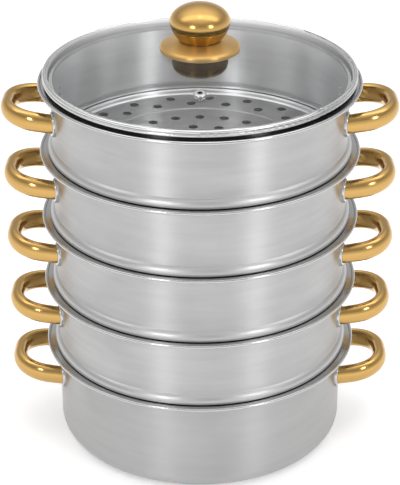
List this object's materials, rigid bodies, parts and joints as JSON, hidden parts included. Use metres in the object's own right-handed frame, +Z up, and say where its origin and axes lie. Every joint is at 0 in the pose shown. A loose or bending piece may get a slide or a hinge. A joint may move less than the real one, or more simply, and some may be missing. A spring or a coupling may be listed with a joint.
{
  "type": "steamer pot",
  "caption": "Tall stacking steamer pot: a base pot, perforated steel tiers with gold tube handles, and a domed glass lid with a ball knob.",
  "frame": {"origin": "centre of the base pot's underside, on the surface that the pot stands on", "axes": "+Z up through the stack; the handles are on +X and -X; the lid's vent is on the -Y side, which is the front"},
  "size_m": [0.3742, 0.304, 0.4417],
  "materials": {
    "steel": "polished stainless steel with faint turning lines",
    "gold": "warm gold-coloured plating on steel, semi-polished",
    "glass": "clear tempered glass",
    "silicone": "matt silicone",
    "dark_plastic": "dark heat-resistant plastic, satin"
  },
  "bodies": {
    "base": {"base_pot": "steel", "base_handle_left": "gold", "base_handle_right": "gold", "base_weld_pads_left": "steel", "base_weld_pads_right": "steel"},
    "tier_1": {"steamer_tier_1": "steel", "tier_1_floor": "steel", "tier_1_handle_left": "gold", "tier_1_handle_right": "gold", "tier_1_weld_pads_left": "steel", "tier_1_weld_pads_right": "steel"},
    "tier_2": {"steamer_tier_2": "steel", "tier_2_floor": "steel", "tier_2_handle_left": "gold", "tier_2_handle_right": "gold", "tier_2_weld_pads_left": "steel", "tier_2_weld_pads_right": "steel"},
    "tier_3": {"steamer_tier_3": "steel", "tier_3_floor": "steel", "tier_3_handle_left": "gold", "tier_3_handle_right": "gold", "tier_3_weld_pads_left": "steel", "tier_3_weld_pads_right": "steel"},
    "tier_4": {"steamer_tier_4": "steel", "tier_4_floor": "steel", "tier_4_handle_left": "gold", "tier_4_handle_right": "gold", "tier_4_weld_pads_left": "steel", "tier_4_weld_pads_right": "steel"},
    "lid": {"lid_glass": "glass", "lid_rim": "steel", "vent_eyelet": "steel", "knob_cap": "gold", "knob_cup": "gold", "knob_skirt": "gold", "knob_insert": "steel", "knob_gasket": "silicone", "backing_cup": "dark_plastic", "backing_gasket": "silicone", "knob_screw": "steel", "screw_washer": "steel"}
  },
  "joints": [
    {"name": "tier_1_lift", "type": "slide", "parent": "base", "child": "tier_1", "axis": [0, 0, 1], "range_m": [0, 0.06]},
    {"name": "tier_2_lift", "type": "slide", "parent": "tier_1", "child": "tier_2", "axis": [0, 0, 1], "range_m": [0, 0.06]},
    {"name": "tier_3_lift", "type": "slide", "parent": "tier_2", "child": "tier_3", "axis": [0, 0, 1], "range_m": [0, 0.06]},
    {"name": "tier_4_lift", "type": "slide", "parent": "tier_3", "child": "tier_4", "axis": [0, 0, 1], "range_m": [0, 0.06]},
    {"name": "lid_lift", "type": "slide", "parent": "tier_4", "child": "lid", "axis": [0, 0, 1], "range_m": [0, 0.08]}
  ]
}
